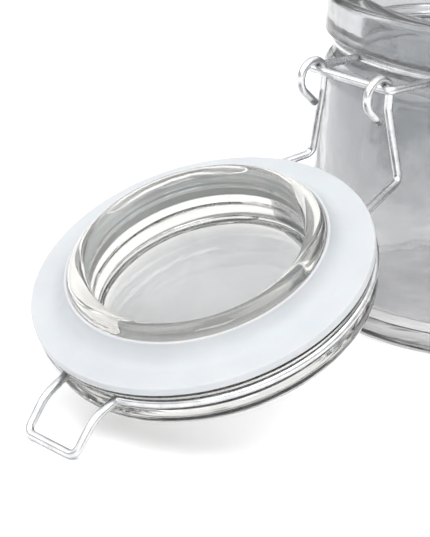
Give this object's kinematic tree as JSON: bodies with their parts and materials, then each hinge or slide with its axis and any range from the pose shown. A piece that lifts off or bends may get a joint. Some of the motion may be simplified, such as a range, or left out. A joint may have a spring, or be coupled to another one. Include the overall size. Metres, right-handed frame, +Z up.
{
  "type": "clip-top storage jar",
  "caption": "Clear glass canister with a hinged glass lid, white seal ring and wire toggle latch, shown open.",
  "frame": {"origin": "centre of the jar's base on the plane it stands on", "axes": "+Z up along the jar's axis, +Y from the jar towards the hinge and the open lid, +X along the hinge axis"},
  "size_m": [0.104, 0.2377, 0.098],
  "materials": {
    "jar_glass": "clear polished",
    "lid_glass": "clear polished",
    "seal": "smooth satin",
    "wire": "bright plated"
  },
  "bodies": {
    "jar": {"glass_jar": "jar_glass", "neck_wire": "wire"},
    "lid": {"glass_lid": "lid_glass", "lid_gasket": "seal", "lid_wire": "wire"},
    "lever": {"latch_lever": "wire"},
    "stirrup": {"latch_stirrup": "wire"}
  },
  "joints": [
    {"name": "lid_hinge", "type": "hinge", "parent": "jar", "child": "lid", "pos_m": [0, 0.069, 0.083], "axis": [1, 0, 0], "range_deg": [0, 205.9]},
    {"name": "lever_pivot", "type": "hinge", "parent": "jar", "child": "lever", "pos_m": [0, -0.057, 0.083], "axis": [-1, 0, 0], "range_deg": [0, 160.3]},
    {"name": "stirrup_pivot", "type": "hinge", "parent": "lever", "child": "stirrup", "pos_m": [0, -0.056, 0.0724], "axis": [-1, 0, 0], "range_deg": [0, 183.8]}
  ]
}
